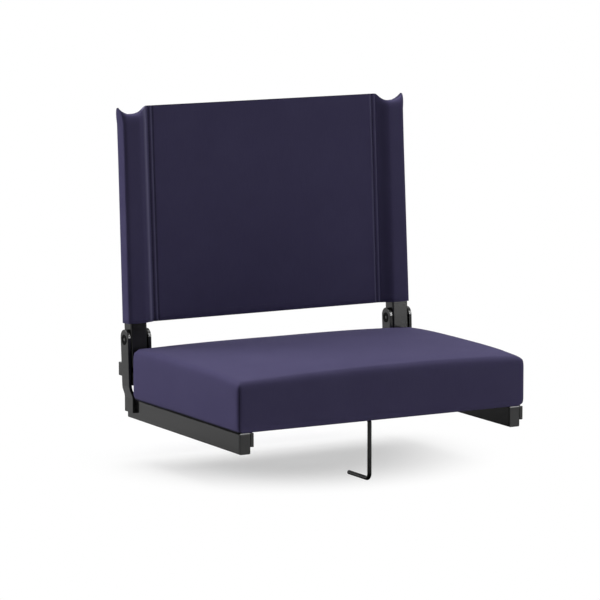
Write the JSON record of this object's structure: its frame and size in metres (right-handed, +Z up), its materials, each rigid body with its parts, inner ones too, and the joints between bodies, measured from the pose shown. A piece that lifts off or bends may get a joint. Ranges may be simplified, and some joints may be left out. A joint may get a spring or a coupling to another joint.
{
  "type": "folding stadium chair",
  "caption": "Folding stadium chair: padded seat on steel rails, sling back that folds forward on hinge plates, and a swinging wire hook that grips a bench plank.",
  "frame": {"origin": "middle of the bounding box's base, under the seat at the level of the hook's lowest point", "axes": "+Z up, the chair faces -Y, +X to the right of someone who stands in front of it"},
  "size_m": [0.4308, 0.3348, 0.4657],
  "materials": {
    "black_coat": "satin black powder coat",
    "zinc": "dark zinc plate",
    "nylon": "moulded black nylon",
    "navy_cloth": "tight plain-weave navy cloth",
    "lining": "thin black non-woven lining",
    "plywood": "unfinished plywood"
  },
  "bodies": {
    "frame": {"left_rail": "black_coat", "right_rail": "black_coat", "left_short_plate": "black_coat", "left_long_plate": "black_coat", "right_short_plate": "black_coat", "right_long_plate": "black_coat", "left_stop_pin": "black_coat", "right_stop_pin": "black_coat", "left_pivot_pin": "black_coat", "right_pivot_pin": "black_coat", "rear_crossbar": "black_coat", "left_front_screw": "zinc", "left_rear_screw": "zinc", "right_front_screw": "zinc", "right_rear_screw": "zinc", "hook_front_clip": "zinc", "hook_rear_clip": "zinc", "clip_front_left_screw": "zinc", "clip_front_right_screw": "zinc", "clip_rear_left_screw": "zinc", "clip_rear_right_screw": "zinc", "left_front_cap": "nylon", "left_rear_cap": "nylon", "right_front_cap": "nylon", "right_rear_cap": "nylon", "left_short_bush": "nylon", "left_long_bush": "nylon", "right_short_bush": "nylon", "right_long_bush": "nylon", "seat_cushion": "navy_cloth", "dust_cover": "lining", "seat_board": "plywood"},
    "back": {"left_upright": "black_coat", "right_upright": "black_coat", "left_pivot_spacer": "black_coat", "right_pivot_spacer": "black_coat", "left_upright_cap": "nylon", "right_upright_cap": "nylon", "back_fabric": "navy_cloth"},
    "hook": {"bench_hook": "black_coat"}
  },
  "joints": [
    {"name": "back_fold", "type": "hinge", "parent": "frame", "child": "back", "pos_m": [0, 0.1394, 0.16255], "axis": [1, 0, 0], "range_deg": [0, 86]},
    {"name": "hook_fold", "type": "hinge", "parent": "frame", "child": "hook", "pos_m": [0, -0.1271, 0.08178], "axis": [0, 1, 0], "range_deg": [-90, 90]}
  ]
}
